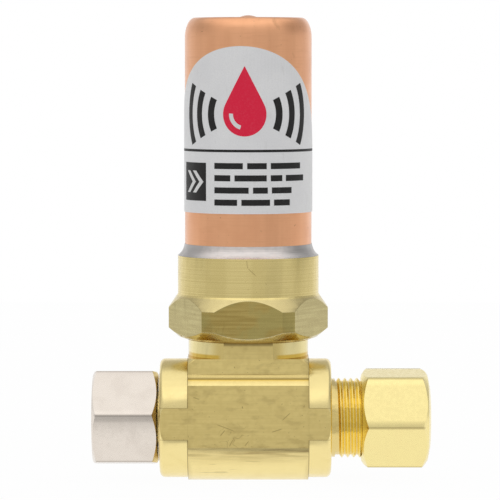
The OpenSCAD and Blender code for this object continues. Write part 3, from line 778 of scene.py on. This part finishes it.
def piece(name, vertices, faces, material, body):
    """A mesh piece that rides on a body."""
    mesh = bpy.data.meshes.new(name)
    mesh.from_pydata(vertices, [], faces)
    mesh.validate()
    mesh.materials.append(material)
    obj = bpy.data.objects.new(name, mesh)
    bpy.context.scene.collection.objects.link(obj)
    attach(obj, body)


# Screw threads: 24 turns an inch, right-handed, with half the width of a ridge as shares of its pitch
PITCH = 25.4 * MM / 24
ROOT_SHARE = 0.46
CREST_SHARE = 0.07
STEPS_A_TURN = 48
RUN_OUT_TURNS = 0.2
SINK = 0.05 * MM


def thread(name, start, end, root_r, crest_r, material, body):
    """A ridge wound about the tee's axis from one place to another, which runs out at both ends."""
    turns = (end - start) / PITCH
    steps = round(turns * STEPS_A_TURN)
    outward = math.copysign(1, crest_r - root_r)
    base_r = root_r - outward * SINK
    vertices = []
    for i in range(steps + 1):
        turn = turns * i / steps
        height = min(1, turn / RUN_OUT_TURNS, (turns - turn) / RUN_OUT_TURNS)
        top_r = root_r + (crest_r - root_r) * max(height, 0)
        angle = 2 * math.pi * turn
        ridge = ((-ROOT_SHARE, base_r), (-CREST_SHARE, top_r), (CREST_SHARE, top_r), (ROOT_SHARE, base_r))
        for share, r in ridge:
            x = start + PITCH * (turn + share)
            vertices.append((x, r * math.cos(angle), r * math.sin(angle)))
    faces = [(4 * i + k, 4 * i + (k + 1) % 4, 4 * i + 4 + (k + 1) % 4, 4 * i + 4 + k)
             for i in range(steps) for k in range(4)]
    if outward > 0:
        faces = [face[::-1] for face in faces]
    last = 4 * steps
    ends = [(0, 1, 2, 3), (last + 3, last + 2, last + 1, last)]
    faces += ends if outward > 0 else [face[::-1] for face in ends]
    piece(name, vertices, faces, material, body)


ROOT_R = 6.5 * MM
CREST_R = 7.0 * MM
NUT_CORE_R = 6.6 * MM
OUTLET_THREAD_LENGTH = 8.9 * MM
OUTLET_NUT_THREAD = 8 * MM
INLET_NUT_THREAD = 4.75 * MM
MOUTH_BEVEL = 0.3 * MM

outlet_start = OUTLET_END_X - OUTLET_THREAD_LENGTH + ROOT_SHARE * PITCH
outlet_end = OUTLET_END_X - ROOT_SHARE * PITCH
thread("outlet_thread", outlet_start, outlet_end, ROOT_R, CREST_R, thread_brass, "fitting")
# The nut's ridge lies half a pitch from the outlet's, in its groove
nut_room = NUT_MOUTH_X + MOUTH_BEVEL + PITCH / 2 - outlet_start
nut_start = outlet_start + PITCH * (math.ceil(nut_room / PITCH) + 0.5)
nut_end = NUT_MOUTH_X + OUTLET_NUT_THREAD - PITCH / 2
thread("outlet_nut_thread", nut_start, nut_end, NUT_THREAD_R, NUT_CORE_R, thread_brass, "outlet_nut")
inlet_start = INLET_MOUTH_X + MOUTH_BEVEL + PITCH / 2
inlet_end = INLET_MOUTH_X + INLET_NUT_THREAD - PITCH / 2
thread("inlet_nut_thread", inlet_start, inlet_end, NUT_THREAD_R, NUT_CORE_R, nickel, "swivel_nut")

# The label's print: a red drop between ripples, a rule, a flow sign and rows of plain bars
LABEL_TURN = math.radians(-6.8)
INK = 0.02 * MM
INK_STEP = 0.6 * MM
black_ink = ink("black_ink", colour=(0.008, 0.007, 0.007), thin=(0.045, 0.045, 0.045))
red_ink = ink("red_ink", colour=(0.76, 0.006, 0.048), thin=(0.76, 0.06, 0.11))
white_ink = ink("white_ink", colour=(0.74, 0.74, 0.74), thin=(0.66, 0.66, 0.66))


class Print:
    """Thin curved patches of one ink on the label. Places are (along, up): round the tube from the
    label's middle to the right, and up from the tee's axis."""

    def __init__(self, layer):
        self.layer = layer
        self.vertices = []
        self.faces = []

    def strip(self, low, high):
        """A patch between two lines with as many points each, divided so that it follows the tube."""
        first = len(self.vertices)
        count = len(low)
        reach = max(abs(a - b) for (a, _), (b, _) in zip(low, high))
        rows = max(1, math.ceil(reach / INK_STEP))
        for r in (LABEL_R + (self.layer - 1) * INK, LABEL_R + self.layer * INK):
            for row in range(rows + 1):
                for (a, u), (b, v) in zip(low, high):
                    angle = LABEL_TURN + (a + (b - a) * row / rows) / LABEL_R
                    up = u + (v - u) * row / rows
                    self.vertices.append((CHAMBER_X + r * math.sin(angle), -r * math.cos(angle), up))
        rise = (rows + 1) * count
        for row in range(rows):
            for i in range(count - 1):
                a = first + row * count + i
                quad = (a, a + 1, a + count + 1, a + count)
                self.faces.append(tuple(rise + v for v in quad))
                self.faces.append(quad[::-1])
        rim = [first + i for i in range(count)]
        rim += [first + row * count + count - 1 for row in range(1, rows + 1)]
        rim += [first + rows * count + i for i in range(count - 2, -1, -1)]
        rim += [first + row * count for row in range(rows - 1, 0, -1)]
        for a, b in zip(rim, rim[1:] + rim[:1]):
            self.faces.append((a, b, rise + b, rise + a))

    def bar(self, left, right, low, high):
        count = max(2, math.ceil((right - left) / INK_STEP) + 1)
        along = [left + (right - left) * i / (count - 1) for i in range(count)]
        self.strip([(a, low) for a in along], [(a, high) for a in along])

    def arc(self, centre, r, width, middle, reach, count=24):
        """A stroke of a width on a circle, reaching as far to both sides of its middle angle."""
        angles = [middle + reach * (1 - 2 * i / (count - 1)) for i in range(count)]
        points = [(math.cos(a), math.sin(a)) for a in angles]
        self.strip(*[[(centre[0] + s * c, centre[1] + s * t) for c, t in points]
                     for s in (r - width / 2, r + width / 2)])

    def add(self, name, material):
        piece(name, self.vertices, self.faces, material, "fitting")


def drop_outline(centre, r, tip, blunt, count=40):
    """Right and left edges of a drop, from its foot up to its tip, both of which are a little blunt."""
    left, right = [], []
    shoulder = math.asin(r / tip)
    foot = math.acos(blunt / r)
    for i in range(count + 1):
        angle = -foot + (foot + shoulder) * i / count
        half, up = r * math.cos(angle), r * math.sin(angle)
        left.append((centre[0] - half, centre[1] + up))
        right.append((centre[0] + half, centre[1] + up))
    for i in range(1, count // 2 + 1):
        share = 2 * i / count
        narrow = half + (blunt - half) * share
        rise = up + (tip - up) * share
        left.append((centre[0] - narrow, centre[1] + rise))
        right.append((centre[0] + narrow, centre[1] + rise))
    return right, left


RULE_UP = 47.3 * MM
RULE_HALF = 0.22 * MM
RULE_REACH = 18 * MM
black = Print(1)
black.bar(-RULE_REACH, RULE_REACH, RULE_UP - RULE_HALF, RULE_UP + RULE_HALF)

DROP = (0.7 * MM, 53.6 * MM)
DROP_R = 3.8 * MM
DROP_TIP = 8.2 * MM
DROP_BLUNT = 0.05 * MM
RIPPLES = 3
RIPPLE_FIRST = 6.2 * MM
RIPPLE_STEP = 2.7 * MM
RIPPLE_WIDTH = 1.3 * MM
RIPPLE_REACH = math.radians(26)
for i in range(RIPPLES):
    for middle in (0, math.pi):
        black.arc(DROP, RIPPLE_FIRST + i * RIPPLE_STEP, RIPPLE_WIDTH, middle, RIPPLE_REACH)

SIGN = 6.6 * MM
SIGN_LEFT = -13.2 * MM
SIGN_LOW = 38.6 * MM
black.bar(SIGN_LEFT, SIGN_LEFT + SIGN, SIGN_LOW, SIGN_LOW + SIGN)
# Widths of the bars in each row, in millimetres
ROWS = ((5.2, 3.4, 6.4), (3.0, 5.6, 2.2, 4.4), (6.2, 2.6, 4.0), (4.2, 5.0, 3.2))
ROW_TOP = 44.7 * MM
ROW_STEP = 2.1 * MM
ROW_HALF = 0.52 * MM
ROW_LEFT = SIGN_LEFT + SIGN + 1.8 * MM
BAR_GAP = 0.75 * MM
for row, widths in enumerate(ROWS):
    left = ROW_LEFT
    up = ROW_TOP - row * ROW_STEP
    for width in widths:
        black.bar(left, left + width * MM, up - ROW_HALF, up + ROW_HALF)
        left += width * MM + BAR_GAP
black.add("label_print_black", black_ink)

red = Print(1)
red.strip(*drop_outline(DROP, DROP_R, DROP_TIP, DROP_BLUNT))
red.add("label_print_red", red_ink)

# A glint in the drop, and two arrow heads in the sign
GLINT_R = 0.62 * DROP_R
GLINT_WIDTH = 0.7 * MM
GLINT_MIDDLE = math.radians(215)
GLINT_REACH = math.radians(38)
white = Print(2)
white.arc(DROP, GLINT_R, GLINT_WIDTH, GLINT_MIDDLE, GLINT_REACH)
CHEVRON = 1.9 * MM
CHEVRON_WIDTH = 1.0 * MM
CHEVRON_STEPS = 6
CHEVRON_PLACES = (1.1 * MM, 3.1 * MM)
sign_up = SIGN_LOW + SIGN / 2
slants = [i / CHEVRON_STEPS - 1 for i in range(2 * CHEVRON_STEPS + 1)]
for place in CHEVRON_PLACES:
    edge = [(SIGN_LEFT + place + CHEVRON * (1 - abs(s)), sign_up + CHEVRON * s) for s in slants]
    white.strip([(a + CHEVRON_WIDTH, u) for a, u in edge], edge)
white.add("label_print_white", white_ink)

# The studio: a white floor and a white surround that is darker towards the camera
scene = bpy.context.scene
scene.view_settings.view_transform = "Standard"
WHITE = (1, 1, 1, 1)

# The floor's reach and its gap under the part. The metal sees it white near the part and dim in front.
FLOOR = 0.4
FLOOR_FRONT = 0.12
FLOOR_GAP = 0.05 * MM
FLOOR_WHITE_Y = -15.5 * MM
FLOOR_DIM_Y = -21 * MM
FLOOR_DIM = 0.55
PAPER = (0.92, 0.92, 0.92, 1)
PAPER_ROUGHNESS = 0.9
# How much of the floor is evenly white to the camera and in the metal, where the rest takes a shadow
EVEN_SHARE = 0.97


def floor_paper():
    """White paper that stays white to the camera and in the metal, with a faint shadow."""
    material = bpy.data.materials.new("floor_paper")
    material.use_nodes = True
    n = Nodes(material.node_tree)
    paper = n.tree.nodes["Principled BSDF"]
    n.put(paper.inputs["Base Color"], PAPER)
    n.put(paper.inputs["Roughness"], PAPER_ROUGHNESS)
    position = n.add("ShaderNodeNewGeometry").outputs["Position"]
    y = n.add("ShaderNodeSeparateXYZ", Vector=position).outputs[1]
    path = n.add("ShaderNodeLightPath").outputs
    level = n.most(n.ramp(y, FLOOR_DIM_Y, FLOOR_WHITE_Y, low=FLOOR_DIM), path["Is Camera Ray"])
    glow = n.add("ShaderNodeEmission", Strength=level)
    share = n.product(n.most(path["Is Camera Ray"], path["Is Glossy Ray"]), EVEN_SHARE)
    mixed = n.fill(n.add("ShaderNodeMixShader"), share, paper.outputs[0], glow.outputs[0])
    n.put(n.tree.nodes["Material Output"].inputs["Surface"], mixed)
    return material


floor_z = cad_box[0][2] - FLOOR_GAP
floor_corners = ((-FLOOR, -FLOOR_FRONT), (FLOOR, -FLOOR_FRONT), (FLOOR, FLOOR), (-FLOOR, FLOOR))
floor_mesh = bpy.data.meshes.new("floor")
floor_mesh.from_pydata([(x, y, floor_z) for x, y in floor_corners], [], [(0, 1, 2, 3)])
floor_mesh.materials.append(floor_paper())
floor = bpy.data.objects.new("floor", floor_mesh)
scene.collection.objects.link(floor)

# Soft zones of the surround, in degrees: azimuth from the front to the right, half its width and the
# softness of its sides, elevation, half its height and the softness of its ends, and then the gain
ZONES = {
    "camera side": (0, 95, 75, -6, 34, 20, -0.34),
    "stand by the camera": (40, 8, 14, 4, 10, 14, -0.08),
    "lamp above the camera": (-10, 45, 45, 50, 6, 12, 0.15),
    "room on the left": (-112, 22, 22, 28, 12, 12, -0.20),
    "room on the right": (112, 22, 22, 28, 12, 12, -0.30),
    "room behind": (180, 25, 30, 45, 12, 20, -0.45),
}
SURROUND = 1.0


def surround():
    """The world: white to the camera, and a soft tent of light to the object."""
    world = bpy.data.worlds.new("surround")
    scene.world = world
    world.use_nodes = True
    n = Nodes(world.node_tree)
    direction = n.add("ShaderNodeTexCoord").outputs["Generated"]

    def part_along(axis):
        node = n.add("ShaderNodeVectorMath", operation="DOT_PRODUCT")
        n.fill(node, direction, axis)
        return node.outputs["Value"]

    rise = n.math("ARCSINE", part_along((0, 0, 1)))
    level = SURROUND
    for *angles, gain in ZONES.values():
        azimuth, half_width, side_soft, elevation, half_height, end_soft = map(math.radians, angles)
        to_right = part_along((math.cos(azimuth), math.sin(azimuth), 0))
        ahead = part_along((math.sin(azimuth), -math.cos(azimuth), 0))
        zone = n.product(n.inside(n.math("ARCTAN2", to_right, ahead), 0, half_width, side_soft),
                         n.inside(rise, elevation, half_height, end_soft))
        level = n.math("ADD", n.product(zone, gain), level)
    tent = n.tree.nodes["Background"]
    n.put(tent.inputs["Strength"], level)
    n.put(tent.inputs["Color"], WHITE)
    white_back = n.add("ShaderNodeBackground", Color=WHITE)
    seen = n.add("ShaderNodeLightPath").outputs["Is Camera Ray"]
    mixed = n.fill(n.add("ShaderNodeMixShader"), seen, tent.outputs[0], white_back.outputs[0])
    n.put(n.tree.nodes["World Output"].inputs["Surface"], mixed)


surround()

LAMP_SIZE = 0.45
LAMP_POWER = 0.03
LAMP_PLACE = Vector((CHAMBER_X - 0.12, -0.28, 0.55))
LAMP_TARGET = Vector((CHAMBER_X, 0, 0.03))
lamp_data = bpy.data.lights.new("soft_box", "AREA")
lamp_data.size = LAMP_SIZE
lamp_data.energy = LAMP_POWER
lamp = bpy.data.objects.new("soft_box", lamp_data)
lamp.location = LAMP_PLACE
lamp.rotation_euler = (LAMP_TARGET - LAMP_PLACE).to_track_quat("-Z", "Y").to_euler()
scene.collection.objects.link(lamp)

# The camera looks along +Y and a little down, from a good distance
SENSOR = 36
VIEW_WIDTH = 87.85 * MM
CAMERA_DISTANCE = 0.54
CAMERA_PITCH = math.radians(3.5)
CAMERA_TARGET = Vector((CHAMBER_X + 0.30 * MM, 0, 29.6 * MM))
to_camera = Vector((0, -math.cos(CAMERA_PITCH), math.sin(CAMERA_PITCH)))
camera_data = bpy.data.cameras.new("camera")
camera_data.sensor_width = SENSOR
camera_data.lens = SENSOR * CAMERA_DISTANCE / VIEW_WIDTH
camera = bpy.data.objects.new("camera", camera_data)
camera.location = CAMERA_TARGET + CAMERA_DISTANCE * to_camera
camera.rotation_euler = (math.pi / 2 - CAMERA_PITCH, 0, 0)
scene.collection.objects.link(camera)
scene.camera = camera
